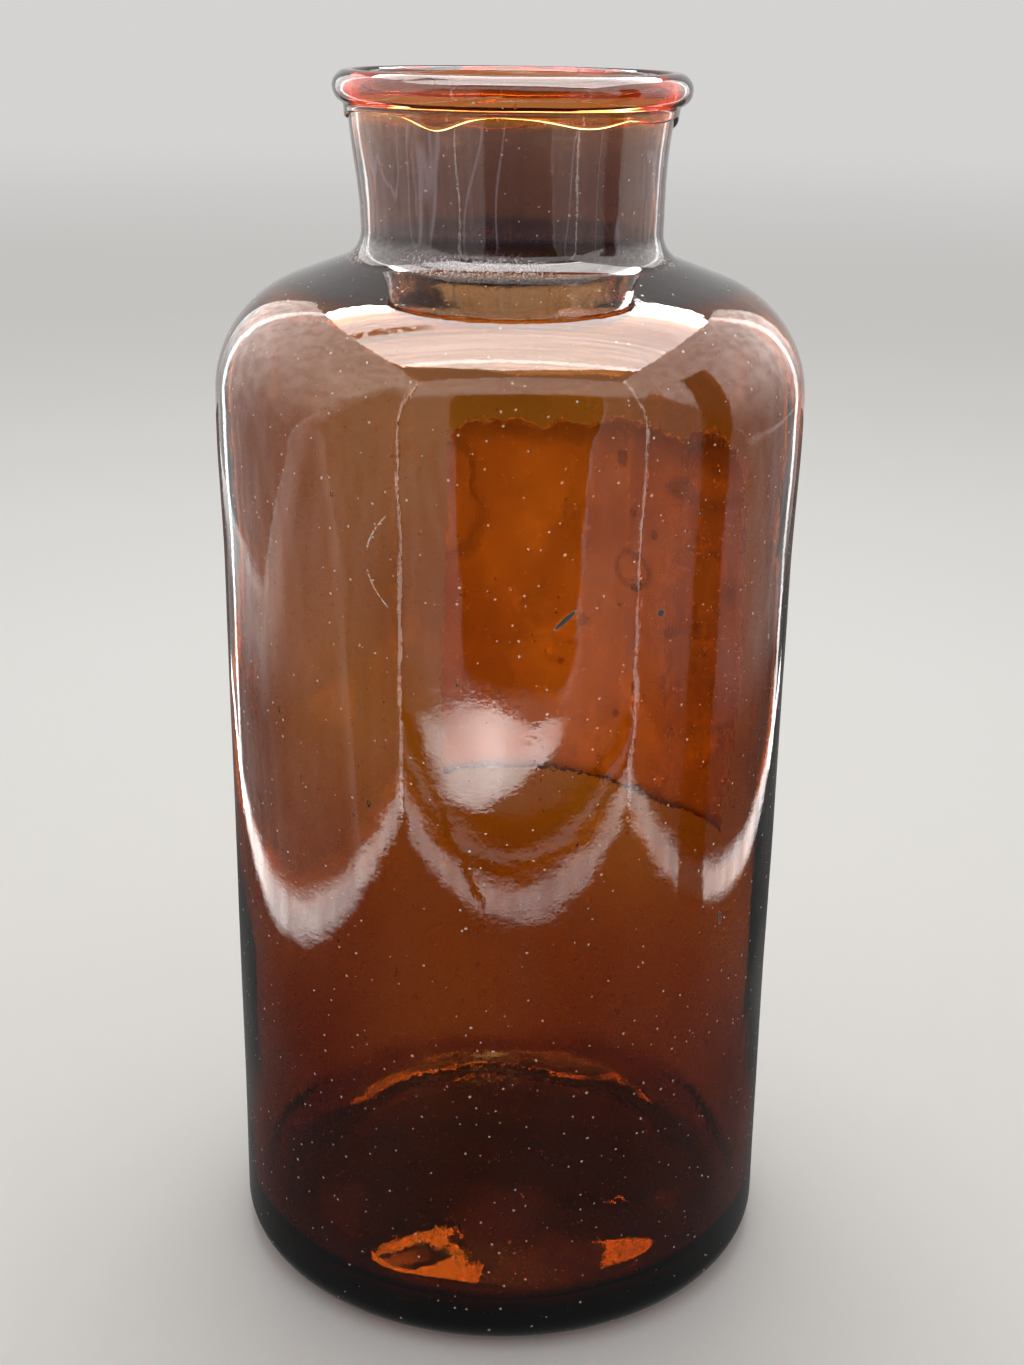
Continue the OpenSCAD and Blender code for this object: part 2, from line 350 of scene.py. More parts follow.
def make_lip():
    """The ring of glass round the neck's end: bore, rim, bead, skirt with its hem, and seat."""
    deg = np.arange(LIP_STEPS) * 360 / LIP_STEPS
    hem = hem_z(deg)
    share = hem_share(deg)
    skirt_t = 0.55 + 0.35 * share
    fillet = 1.2
    seat_top = NECK_END_Z + SEAT_GAP
    rim_z = TOP_Z - RIM_ROUND
    rows = [revolve(np.full(LIP_STEPS, MOUTH_R), z, deg) for z in np.linspace(seat_top, rim_z, 7)]
    rim = arc(MOUTH_R + RIM_ROUND, rim_z, RIM_ROUND, 180, 90, 9)[1:]
    rows += [revolve(np.full(LIP_STEPS, r), z, deg) for r, z in rim]
    # The bead, down to where the hollow takes over, then the hollow into the skirt
    out = np.array([math.cos(FLARE_A), -math.sin(FLARE_A)])
    down = -np.array([math.sin(FLARE_A), math.cos(FLARE_A)])
    bead = np.array([BEAD_X, BEAD_Z])
    foot_z = 242.7
    skirt_foot = np.stack([flare_r(foot_z) + skirt_t / math.cos(FLARE_A), np.full(LIP_STEPS, foot_z)], -1)
    across = fillet - (bead - skirt_foot) @ out
    hollow = bead + across[:, None] * out + np.sqrt((BEAD_R + fillet) ** 2 - across**2)[:, None] * down
    to_hollow = np.degrees(np.arctan2(hollow[:, 1] - bead[1], hollow[:, 0] - bead[0]))
    for t in np.linspace(0, 1, 34)[1:]:
        a = np.radians(90 + (to_hollow - 90) * t)
        rows.append(revolve(BEAD_X + BEAD_R * np.cos(a), BEAD_Z + BEAD_R * np.sin(a), deg))
    for t in np.linspace(0, 1, 7)[1:]:
        a = np.radians(to_hollow + 180 + (180 - math.degrees(FLARE_A) - to_hollow - 180) * t)
        rows.append(revolve(hollow[:, 0] + fillet * np.cos(a), hollow[:, 1] + fillet * np.sin(a), deg))
    top = rows[-1][:, 2]
    for t in np.linspace(0, 1, 15)[1:] ** 0.75:
        z = top + (hem - top) * t
        bulge = 1 + 0.25 * share * np.exp(-(((t - 0.75) / 0.18) ** 2))
        stand = skirt_t * bulge * math.sqrt(1 - t**5) + SEAT_GAP
        rows.append(revolve(flare_r(z) + stand / math.cos(FLARE_A), z, deg))
    hem_row = len(rows) - 1
    for t in np.linspace(0, 1, 9)[1:]:
        z = hem + (NECK_END_Z - hem) * t
        rows.append(revolve(flare_r(z) + SEAT_GAP, z, deg))
    rows.append(revolve(np.full(LIP_STEPS, NECK_END_R + SEAT_GAP), seat_top, deg))
    rows.append(revolve(np.full(LIP_STEPS, (NECK_END_R + MOUTH_R) / 2), seat_top, deg))
    grid = np.stack(rows)
    free = grid[7:hem_row]
    free[...] += lip_marks(free)
    verts = lean(grid.reshape(-1, 3))
    faces = bridge(len(rows), LIP_STEPS, closed=True, flip=True)
    seat = (np.repeat(np.arange(len(rows)), LIP_STEPS) >= hem_row).astype(float)
    return mesh_object("lip_glass", verts, faces, seat)


def lip_marks(p):
    """Displacement of the lip's free surface (mm): tooling ripple, a slack bead and a folded crease."""
    bearing = np.degrees(np.arctan2(p[..., 0], -p[..., 1]))
    z = p[..., 2]
    core = revolve(BEAD_X, np.full(z.shape, BEAD_Z), bearing)
    away = p - core
    away /= np.maximum(np.linalg.norm(away, axis=-1, keepdims=True), 1e-6)
    height = ripple(p, 31, 10, 18, 50, 0.05, (1, 1, 0.6))
    height = height + ripple(p, 37, 14, 3, 8, 0.018, (3, 3, 0.5)) - 0.07
    # The crease: a shallow fold that climbs from left to right across the front of the bead
    along = (bearing + 9.5) / 5.5
    line_z = 249.55 + 0.55 * along
    crease = np.exp(-(((z - line_z) / 0.22) ** 2)) * np.exp(-(along**4))
    height = height - 0.28 * crease * (p[..., 1] < 0)
    fade = smooth(z, 246.2, 248.4) * (1 - smooth(z, 253.2, 253.9))
    return away * (height * fade)[..., None]


# The paper label on the back

def make_label(across=200, up=60):
    """A thin sheet pasted on the wall, torn along its top, with the tear's points lifted a little."""
    share = np.linspace(0, 1, across + 1)
    deg = LABEL_BEARING + math.degrees(LABEL_W / WALL_R) * (share - 0.5)
    rng = np.random.default_rng(53)
    fibres = np.interp(share, np.linspace(0, 1, 91), rng.uniform(0, 0.9, 91))
    top = LABEL_TOP_Z - np.interp(share, *zip(*TEAR)) - fibres
    worn = np.interp(share, np.linspace(0, 1, 61), rng.uniform(0, 0.25, 61))
    foot = LABEL_FOOT_Z + worn
    t = np.linspace(0, 1, up + 1)[:, None]
    z = foot + (top - foot) * t
    outside, _ = body_lines()
    wall = outside[(outside[:, 0] > WALL_R - 5) & (outside[:, 1] < SHOULDER_Z)]
    r = np.interp(z, wall[:, 1], wall[:, 0])
    on_wall = revolve(r, z, deg)
    lifted = 0.35 * np.clip(ripple(on_wall, 57, 9, 7, 22, 1.0), 0, 1.2)
    near_edge = np.maximum(np.exp(-(((top - z) / 2.2) ** 2)), np.exp(-(((share - 1) * LABEL_W / 2.0) ** 2)))
    bubbles = 0.05 * np.clip(ripple(on_wall, 59, 10, 9, 20, 1.0), 0, 2)
    waves = outer_waves(on_wall)
    stand = waves + PASTE_T - 0.06 + bubbles + lifted * near_edge
    stand = np.maximum(np.minimum(stand, BODY_R - 0.01 - PAPER_T - r), waves + 0.02)
    out = away_from_axis(on_wall)
    inner, outer = on_wall.copy(), on_wall.copy()
    inner[..., :2] += out * stand[..., None]
    outer[..., :2] += out * (stand + PAPER_T)[..., None]
    n, m = across + 1, up + 1
    verts = np.concatenate([inner.reshape(-1, 3), outer.reshape(-1, 3)])
    faces = []
    for i in range(up):
        for k in range(across):
            a, b = i * n + k, (i + 1) * n + k
            faces += [(a, a + 1, b + 1, b), (m * n + a, m * n + b, m * n + b + 1, m * n + a + 1)]
    border = list(range(n)) + [i * n + n - 1 for i in range(1, m)]
    border += [(m - 1) * n + k for k in range(n - 2, -1, -1)] + [i * n for i in range(m - 2, 0, -1)]
    for a, b in zip(border, border[1:] + border[:1]):
        faces.append((a, m * n + a, m * n + b, b))
    return mesh_object("label", verts, faces, np.zeros(len(faces)))


# Shader nodes

class Wire:
    """A value in a node tree. Arithmetic on it adds the Math nodes that work it out."""

    def __init__(self, net, socket):
        self.net, self.socket = net, socket

    def __add__(self, other):
        return self.net.math("ADD", self, other)

    def __sub__(self, other):
        return self.net.math("SUBTRACT", self, other)

    def __rsub__(self, other):
        return self.net.math("SUBTRACT", other, self)

    def __mul__(self, other):
        return self.net.math("MULTIPLY", self, other)

    def __abs__(self):
        return self.net.math("ABSOLUTE", self)

    __radd__, __rmul__ = __add__, __mul__


class Net:
    """Builds the node tree of a material or of the world, and empties it first."""

    def __init__(self, tree):
        self.tree = tree
        tree.nodes.clear()

    def node(self, kind, inputs=None, **settings):
        """Add a node. An input is a wire to link or a value to set."""
        node = self.tree.nodes.new("ShaderNode" + kind)
        for key, value in settings.items():
            setattr(node, key, value)
        for socket, value in (inputs or {}).items():
            if isinstance(value, Wire):
                self.tree.links.new(value.socket, node.inputs[socket])
            else:
                node.inputs[socket].default_value = value
        return node

    def wire(self, node, output=0):
        return Wire(self, node.outputs[output])

    def math(self, operation, *values):
        return self.wire(self.node("Math", dict(enumerate(values)), operation=operation))

    def largest(self, first, *others):
        for other in others:
            first = self.math("MAXIMUM", first, other)
        return first

    def place(self):
        return self.wire(self.node("TexCoord"), "Object")

    def separate(self, vector):
        node = self.node("SeparateXYZ", {"Vector": vector})
        return [self.wire(node, axis) for axis in "XYZ"]

    def combine(self, x, y, z=0.0):
        return self.wire(self.node("CombineXYZ", {"X": x, "Y": y, "Z": z}))

    def stretched(self, vector, x, y, z):
        return self.wire(self.node("VectorMath", {0: vector, 1: (x, y, z)}, operation="MULTIPLY"))

    def attribute(self, name):
        return self.wire(self.node("Attribute", attribute_name=name), "Fac")

    def noise(self, vector, scale, detail=2.0, roughness=0.5, output="Fac"):
        inputs = {"Vector": vector, "Scale": scale, "Detail": detail, "Roughness": roughness}
        return self.wire(self.node("TexNoise", inputs), output)

    def ramp(self, value, low, high, to_low=0.0, to_high=1.0, kind="SMOOTHSTEP"):
        """to_low where the value is at low, to_high where it is at high, and held beyond them."""
        inputs = {"Value": value, "From Min": low, "From Max": high, "To Min": to_low, "To Max": to_high}
        return self.wire(self.node("MapRange", inputs, interpolation_type=kind), "Result")

    def between(self, value, low, high, soft):
        """1 between two values, with soft ends."""
        return self.ramp(value, low - soft, low + soft) * self.ramp(value, high + soft, high - soft)

    def line(self, distance, half, strength=1.0):
        """A thin line where a distance passes zero."""
        return self.ramp(abs(distance), half, 0.0, 0.0, strength)

    def blend(self, colour, shade, amount):
        """From one colour to another. Each is a wire or its red, green and blue."""
        first, second = (c if isinstance(c, Wire) else (*c, 1) for c in (colour, shade))
        return self.wire(self.node("Mix", {"Factor": amount, 6: first, 7: second}, data_type="RGBA"), 2)

    def specks(self, vector, scale, size, share):
        """1 inside small spots at random places, of differing size; share of the cells have one."""
        cells = self.node("TexVoronoi", {"Vector": vector, "Scale": scale})
        picks = self.node("SeparateColor", {0: self.wire(cells, "Color")})
        there = self.math("LESS_THAN", self.wire(picks, 0), share)
        radius = (self.wire(picks, 1) * 0.8 + 0.7) * size
        return self.math("LESS_THAN", self.wire(cells, "Distance"), radius) * there

    def bump(self, height, strength, distance):
        inputs = {"Strength": strength, "Distance": distance, "Height": height}
        return self.wire(self.node("Bump", inputs))

    def finish(self, surface, volume=None, kind="OutputMaterial"):
        out = self.node(kind)
        self.tree.links.new(surface.outputs[0], out.inputs["Surface"])
        if volume:
            self.tree.links.new(volume.outputs[0], out.inputs["Volume"])


def material(name):
    mat = bpy.data.materials.new(name)
    mat.use_nodes = True
    return mat, Net(mat.node_tree)


# Glass

# Colours of the surface where it is clean; of painted shade, a dark purplish cast on the neck
# and near-black round the neck's root; and of the glass where it is darker towards the bottom
BODY_TINT = (0.98, 0.97, 0.95)
NECK_PAINTED_SHADE, ROOT_PAINTED_SHADE, LOW_DARKER_TINT = (0.52, 0.43, 0.57), (0.09, 0.08, 0.11), (0.84, 0.70, 0.62)
LIP_TINT = (0.93, 0.83, 0.77)
# The volume's colour, of which what is missing from white is absorbed, and its density per metre
BODY_ABSORB, BODY_DENSITY = (0.791, 0.564, 0.091), 1100
# The lip's glass absorbs less than the body's: a more orange glass, and painted light for what its bead
# gathers
LIP_ABSORB, LIP_DENSITY = (0.86, 0.55, 0.12), 740
GLASS_IOR = 1.52
SKIN_RELIEF = 0.000045
# Dust colours; the orange of the crumbs is painted light, the amber light that dust inside the glass is lit
# by
DUST, AMBER_LIT_CRUMBS, NECK_DUST_AND_VEIL = (0.72, 0.63, 0.53), (0.80, 0.40, 0.13), (0.60, 0.52, 0.58)
DARK_SOIL = (0.035, 0.022, 0.015)

# The scratch: its middle's bearing in radians and height, and how much it bends
SCRATCH_BEARING, SCRATCH_Z, SCRATCH_BEND = -0.450, 0.1703, 960.0
# Dark flecks stuck to the wall: bearing in degrees, then height, half width and half height in mm,
# then turn in degrees
FLECKS = [(10.3, 160.6, 0.5, 2.9, -48), (28.7, 160.3, 0.8, 0.8, 0), (48.2, 91.7, 0.45, 1.6, 8)]


def scratch_mark(net, at, bearing, z):
    """A fine broken scratch, hooked like a bow."""
    along = z - SCRATCH_Z
    across = bearing - (along * along * SCRATCH_BEND + SCRATCH_BEARING)
    ends = net.ramp(abs(along), 0.0090, 0.0080) * net.ramp(abs(along), 0.0016, 0.0024)
    broken = net.ramp(net.noise(at, 2400, 1.0), 0.35, 0.5)
    return net.ramp(abs(across), 0.0042, 0.0012) * ends * broken * 0.8


def dark_flecks(net, bearing, z):
    """1 inside the flecks, each an ellipse on the wall."""
    total = 0.0
    for where, height, half_w, half_h, turn in FLECKS:
        u = (bearing - math.radians(where)) * (WALL_R * MM)
        v = z - height * MM
        c, s = math.cos(math.radians(turn)), math.sin(math.radians(turn))
        p = u * (c / half_w / MM) + v * (s / half_w / MM)
        q = u * (-s / half_h / MM) + v * (c / half_h / MM)
        total = net.ramp(p * p + q * q, 1.0, 0.7) + total
    return total


def glass(name, tint, absorb, density, streaks, dust, soiled_and_shaded):
    """Blown glass: its colour deepens with thickness, and its surface has orange peel and drawn
    streaks, dust and dried specks, some of them orange with painted amber light. Where it is
    soiled and shaded, it also has a scratch and flecks, and painted shade: a dark purplish cast
    and a whitish painted reflection veil on the neck, near-black round the neck's root, and it
    is darker towards the bottom."""
    mat, net = material(name)
    at = net.place()
    x, y, z = net.separate(at)
    r = net.math("SQRT", x * x + y * y)
    bearing = net.math("ARCTAN2", x, y * -1.0)
    free = 1.0 - net.attribute("seat")

    peel = net.noise(at, 260, 2.0, 0.45) * 0.45 + net.noise(at, 1400, 1.0) * 0.13
    drawn = net.noise(net.stretched(at, 1, 1, 0.06), 420) * (0.5 * streaks)
    pull = net.noise(net.stretched(at, 1, 1, 0.25), 60, 1.0, 0.4) * 0.7
    haze = net.ramp(net.noise(net.stretched(at, 1, 1, 0.35), 45, 4.0, 0.6), 0.50, 0.78)

    # Specks with ragged edges, and mealy dust where the neck meets the shoulder
    shake = {0: net.noise(at, 900, output="Color"), 1: (0.0006,) * 3, 2: at}
    ragged = net.wire(net.node("VectorMath", shake, operation="MULTIPLY_ADD"))
    tiny = net.specks(ragged, 430, 0.082, 0.75 * dust)
    small = net.specks(ragged, 170, 0.038, 0.65 * dust)
    mealy = net.ramp(net.noise(at, 1700, 4.0, 0.75), 0.44, 0.62) * net.ramp(net.noise(at, 70), 0.32, 0.58)
    settled = net.ramp(z, 0.2176, 0.2188) * net.ramp(z, 0.2240, 0.2205) * mealy * (0.75 * dust)
    dirt_and_veil = net.largest(net.largest(tiny, small) * 0.6, settled)

    in_neck = net.ramp(z, 0.2170, 0.2205) * net.ramp(z, 0.2465, 0.2440)
    # Painted light: below the neck's root, part of the specks take the orange of amber-lit dust
    kind = net.ramp(net.noise(at, 130, 0.0), 0.45, 0.55)
    soil_and_painted_light = net.blend(DUST, AMBER_LIT_CRUMBS, kind * net.ramp(z, 0.212, 0.205))
    # In the neck, dust and the painted reflection veil take a greyish purple colour
    soil_and_painted_light = net.blend(soil_and_painted_light, NECK_DUST_AND_VEIL, in_neck * 0.8)
    tint_and_shade = tint
    if soiled_and_shaded:
        # Painted reflection: a whitish veil with streaks over the neck, carried with the dust
        veil_streak_noise = net.noise(net.stretched(at, 1, 1, 0.12), 105, 1.5)
        painted_veil = in_neck * (net.line(veil_streak_noise - 0.5, 0.011) * 0.24 + 0.065)
        outside = net.ramp(r, 0.0580, 0.0585)
        dark = dark_flecks(net, bearing, z) * outside
        dirt_and_veil = net.largest(dirt_and_veil, painted_veil, scratch_mark(net, at, bearing, z) * outside, dark)
        soil_and_painted_light = net.blend(soil_and_painted_light, DARK_SOIL, net.math("MINIMUM", dark, 1.0))
        # Uneven patches for the neck's painted shade and for the darkening towards the bottom
        shade_noise = net.noise(net.stretched(at, 1, 1, 0.25), 55, 3.0, 0.55)
        # Painted shade: near-black round the neck's root, where the shoulder meets the neck
        root = net.ramp(z, 0.2050, 0.2090) * net.ramp(r, 0.0480, 0.0430) * net.ramp(z, 0.2255, 0.2230)
        # Painted shade: a dark purplish cast over the neck
        tint_and_shade = net.blend(tint_and_shade, NECK_PAINTED_SHADE, in_neck * net.ramp(shade_noise, 0.2, 0.8, 0.85, 1.0) * free)
        tint_and_shade = net.blend(tint_and_shade, ROOT_PAINTED_SHADE, root * free)
        # Darker towards the bottom, in uneven patches
        low = net.ramp(z, 0.115, 0.035) * net.ramp(shade_noise, 0.2, 0.8, 0.8, 1.0)
        tint_and_shade = net.blend(tint_and_shade, LOW_DARKER_TINT, low * free)
    dirt_and_veil = dirt_and_veil * free

    shader = net.node("BsdfPrincipled", {
        "Base Color": net.blend(tint_and_shade, soil_and_painted_light, dirt_and_veil),
        "Roughness": (haze * 0.035 + dirt_and_veil * 0.5 + 0.012) * free,
        "IOR": free * (GLASS_IOR - 1.0) + 1.0,
        "Transmission Weight": 1.0 - dirt_and_veil,
        "Normal": net.bump(peel + drawn + pull, 1.0, SKIN_RELIEF),
    })
    net.finish(shader, net.node("VolumeAbsorption", {"Color": (*absorb, 1), "Density": density}))
    return mat


# Paper

PAPER, BROWNED, TIDE_LINE = (1.0, 0.78, 0.51), (0.82, 0.54, 0.29), (0.34, 0.20, 0.09)
WORN_EDGE, FOXED, FIBRE = (0.36, 0.23, 0.12), (0.28, 0.13, 0.05), (0.80, 0.70, 0.52)


def paper():
    """Old label paper: browned, stained by damp, foxed, with fibres, and darker at its worn edges."""
    mat, net = material("label_paper")
    at = net.place()
    z = net.separate(at)[2]
    low, high = LABEL_FOOT_Z * MM, LABEL_TOP_Z * MM

    browning = net.ramp(net.noise(at, 26, 4.0, 0.6), 0.38, 0.68)
    tide = net.line(net.noise(at, 14, 3.0) - 0.53, 0.012, 0.55)
    edge = net.largest(net.ramp(z, low + 0.004, low), net.ramp(z, high - 0.012, high - 0.003))
    fibre = net.noise(net.stretched(at, 1, 1, 5), 900, 3.0, 0.7)
    colour = net.blend(PAPER, BROWNED, browning)
    colour = net.blend(colour, TIDE_LINE, tide)
    colour = net.blend(colour, WORN_EDGE, edge * 0.75)
    colour = net.blend(colour, FOXED, net.specks(at, 210, 0.30, 0.09) * 0.6)
    colour = net.blend(colour, FIBRE, net.ramp(fibre, 0.60, 0.75, 0.0, 0.35))
    shader = net.node("BsdfPrincipled", {
        "Base Color": colour,
        "Roughness": net.ramp(browning, 0.0, 1.0, 0.92, 0.80),
        "Normal": net.bump(fibre + net.noise(at, 150, 3.0) * 1.5, 0.6, 0.00006),
        "Specular IOR Level": 0.25,
        "Transmission Weight": 0.92,
    })
    net.finish(shader)
    return mat


# Stage, light and camera

PALE = (1.0, 0.99, 0.975, 1)
FLOOR_COLOUR = (0.70, 0.695, 0.68, 1)
# Brightness of the surroundings as the camera and the glass see them, and as they light the scene
SURROUND, SKY = 0.66, 0.70
LAMP_COLOUR = (1, 0.98, 0.95)
TENT_COLOUR = (1.0, 0.98, 0.96, 1)


def stage_object(name, verts, faces):
    me = bpy.data.meshes.new(name)
    me.from_pydata(verts, [], faces)
    obj = bpy.data.objects.new(name, me)
    bpy.context.scene.collection.objects.link(obj)
    return obj


def sheet(reach, z):
    """Corners of a square sheet round the origin."""
    return [(-reach, -reach, z), (reach, -reach, z), (reach, reach, z), (-reach, reach, z)]


def pale_floor():
    """Plain pale paper that runs out into the pale surroundings, so that no horizon shows."""
    mat, net = material("pale_floor")
    at = net.place()
    shade = net.ramp(net.noise(at, 3.0, 3.0), 0.3, 0.7, 0.985, 1.0)
    tones = {"Factor": 1.0, 6: FLOOR_COLOUR, 7: shade}
    colour = net.node("Mix", tones, data_type="RGBA", blend_type="MULTIPLY")
    near = net.node("BsdfDiffuse", {"Color": net.wire(colour, 2)})
    far = net.node("Emission", {"Color": PALE, "Strength": SURROUND})
    length = net.wire(net.node("VectorMath", {0: at}, operation="LENGTH"), "Value")
    near_to_far = {0: net.ramp(length, 0.5, 4.0), 1: net.wire(near), 2: net.wire(far)}
    net.finish(net.node("MixShader", near_to_far))
    return mat


def make_floor():
    floor = stage_object("floor", sheet(12.0, -0.0001), [(0, 1, 2, 3)])
    floor.data.materials.append(pale_floor())


def make_world():
    """Even soft light all round. Glass and the camera see it a little darker than it lights."""
    world = bpy.data.worlds.new("studio")
    bpy.context.scene.world = world
    world.use_nodes = True
    net = Net(world.node_tree)
    ray = net.node("LightPath")
    seen = net.largest(*(net.wire(ray, f"Is {kind} Ray") for kind in ("Camera", "Transmission", "Glossy")))
    shade = net.node("Background", {"Color": PALE, "Strength": net.ramp(seen, 0.0, 1.0, SKY, SURROUND)})
    net.finish(shade, kind="OutputWorld")


def make_lamp(place=(0.0, 0.30, 0.95), aim=(0.0, 0.25, 0.0), side=0.50, radiance=5.0):
    """A square soft box overhead. Its power is set from the brightness of its face."""
    lamp = bpy.data.lights.new("overhead", "AREA")
    lamp.shape = "SQUARE"
    lamp.size = side
    lamp.energy = radiance * math.pi * side**2
    lamp.color = LAMP_COLOUR
    obj = bpy.data.objects.new("overhead", lamp)
    obj.location = place
    obj.rotation_mode = "QUATERNION"
    obj.rotation_quaternion = (Vector(aim) - Vector(place)).to_track_quat("-Z", "Y")
    obj.visible_camera = False
    bpy.context.scene.collection.objects.link(obj)


# The light tent that the photograph shows mirrored in the glass: a box about 45 cm wide with a left
# wall, a front flap with the camera's opening, a right wall with a slot, and a lit roof. Its feet
# make the three bright arches low on the bottle, its roof the highlight on the shoulder. Places are
# in metres and were traced back from the mirror images; strengths are radiances.

TENT_LEFT, TENT_RIGHT, TENT_BACK, TENT_TOP = -0.207, 0.240, 0.32, 0.45
CORNER_L, CORNER_R = (TENT_LEFT, -0.268), (TENT_RIGHT, -0.231)
ROOF_EDGE = [
    (-0.193, -0.160), (-0.017, -0.211), (0.247, -0.158), (0.277, -0.029), (0.290, 0.120), (0.230, 0.200),
    (0.128, 0.270), (0.0, 0.175), (-0.130, 0.200), (-0.205, 0.180), (-0.262, 0.110), (-0.240, 0.0),
]
# A lit patch of creased cloth under the opening: its edge as points (x, height) in mm, its middle
PATCH_EDGE = [
    (-155, 47), (-100, 63), (-56, 71), (-21, 72), (6, 70), (36, 66), (59, 68), (82, 66),
    (80, 61), (60, 57), (30, 53), (0, 48), (-43, 39), (-100, 34), (-131, 38),
]
PATCH_MIDDLE = (-30, 56)
# Lit cloth far back over the bottle
GLOW_EDGE = [(-0.19, 0.20), (0.28, 0.20), (0.28, 0.40), (-0.19, 0.40)]
GLOW_RADIANCE = 80.0


def cloth(net, x, y, z):
    """Uneven light on the tent's cloth."""
    return net.ramp(net.noise(net.combine(x, y, z), 38, 3.0, 0.6), 0.25, 0.75, 0.72, 1.28)


def foot(net, z, strength):
    """The lit strip along a wall's foot."""
    return net.ramp(z, 0.0200, 0.0115) * net.ramp(z, -0.001, 0.006) * strength


def above_fold(net, y, z, start, span, low, rise, bend):
    """Height above the cloth's long fold, which climbs towards the front corner."""
    u = net.ramp(y, start, start - span, kind="LINEAR")
    return z - (u * rise + low + u * u * bend)


def seam(net, y, corner):
    """The bright upright strip where a side wall meets the flap."""
    return net.ramp(y, corner[1] + 0.010, corner[1] + 0.007) * 3.6


def left_wall(net, x, y, z):
    fold = above_fold(net, y, z, 0.027, 0.232, 0.104, 0.1295, 0.1315)
    upper = net.ramp(z, 0.14, 0.31) * net.ramp(fold, -0.004, 0.012) * 2.1
    inner = net.ramp(fold, 0.0, -0.004) * net.ramp(fold, -0.040, -0.004) * 0.8
    crease = y + (z * -0.39 + 0.1626)
    second = net.ramp(crease, -0.002, 0.002) * net.ramp(crease, 0.026, 0.002)
    second = second * net.ramp(z, 0.20, 0.15) * 0.55
    level = upper + inner + second + net.line(fold, 0.004, 1.3) + net.ramp(z, 0.065, 0.11, 0.40, 0.80)
    rear = net.between(y, 0.168, 0.196, 0.006) * 3.6
    return (level + foot(net, z, 4.4) + rear + seam(net, y, CORNER_L)) * cloth(net, x, y, z)


def right_wall(net, x, y, z):
    fold = above_fold(net, y, z, 0.001, 0.179, 0.149, 0.106, 0.074)
    upper = net.ramp(z, 0.14, 0.30) * net.ramp(fold, -0.004, 0.012) * 2.2
    slot = net.between(y, -0.097, -0.038, 0.003) * net.ramp(z, 0.34, 0.33)
    level = upper + net.line(fold, 0.003, 0.6) + net.ramp(z, 0.05, 0.08, 0.15, 0.55)
    rear = net.between(y, 0.205, 0.240, 0.006) * 2.8
    level = (level + foot(net, z, 3.8) + rear + seam(net, y, CORNER_R)) * cloth(net, x, y, z)
    return level * (slot * -0.93 + 1.0)


def past_opening(net, x, z):
    """Distance outside the camera's opening: a tall shape, wider at the top, with round corners."""
    low, high, corner = 0.075, 0.345, 0.022
    middle, half = z * 0.048 + 0.013, z * 0.145 + 0.0805
    off_x = net.largest(abs(x - middle) - (half - corner), 0.0)
    off_z = net.largest(abs(z - (low + high) / 2) + (corner - (high - low) / 2), 0.0)
    return net.math("SQRT", off_x * off_x + off_z * off_z) - corner


def flap(net, x, y, z):
    """The front wall, dark inside the camera's opening, with two lit strips along its foot."""
    edge = past_opening(net, x, z)
    uneven = cloth(net, x, y, z)
    start = net.ramp(z, 0.038, 0.044, 0.0, 0.45) + net.ramp(z, 0.044, 0.066, 0.0, 0.55)
    level = (net.ramp(x, -0.10, 0.16, 0.85, 0.60) + net.ramp(z, 0.335, 0.36) * 1.6) * uneven * start
    level = level * (net.ramp(edge, 0.002, -0.002) * -0.96 + 1.0)
    tear = z + (x * 0.30 + 0.0035)
    gap = net.ramp(abs(tear), 0.0042, 0.0026) * net.between(x, -0.128, -0.030, 0.004)
    strips = foot(net, z, 3.4) * uneven + net.between(z, 0.0250, 0.0305, 0.002) * 1.1
    rim = net.line(edge - 0.001, 0.003, 1.2) * net.ramp(x, 0.07, 0.09)
    shade = net.ramp(x, CORNER_L[0] + 0.004, CORNER_L[0] + 0.006, 0.15, 1.0)
    return (level + strips * (1.0 - gap) + rim) * shade


def patch(net, x, y, z):
    """The lit patch lies on the flap and adds its own light, by the share that each point has."""
    wrinkle = net.noise(net.stretched(net.combine(x, y, z), 0.3, 0.3, 1.6), 42, 3.0, 0.55)
    return flap(net, x, y, z) + net.attribute("glow") * net.ramp(wrinkle, 0.30, 0.66, 6.5, 11.5)


def roof(net, x, y, z):
    mist = net.ramp(net.noise(net.combine(x * 0.06, y), 75, 3.0, 0.6), 0.25, 0.75, 0.72, 1.15)
    mist = mist * net.ramp(y, -0.10, 0.03, 1.0, 0.72) * 12.0
    front = net.between(y, -0.166, -0.150, 0.003) * 9.0
    hem = net.line(y + 0.032, 0.007, 3.0)
    rear = net.ramp(y, 0.12, 0.16) * net.ramp(abs(x), 0.098, 0.115) * 24.0
    ragged = net.ramp(net.noise(net.combine(x, y), 55, 3.0, 0.7), 0.42, 0.50)
    stain = net.between(y, 0.004, 0.030, 0.006) * net.ramp(x, -0.07, -0.10) * ragged
    return (mist + front + hem + rear) * (stain * -0.95 + 1.0)


def ground(net, x, y, z):
    """What the glass mirrors of the floor: dark, as the slate in the photograph is."""
    return net.ramp(net.noise(net.combine(x, y), 9, 3.0), 0.3, 0.7, 0.10, 0.16)


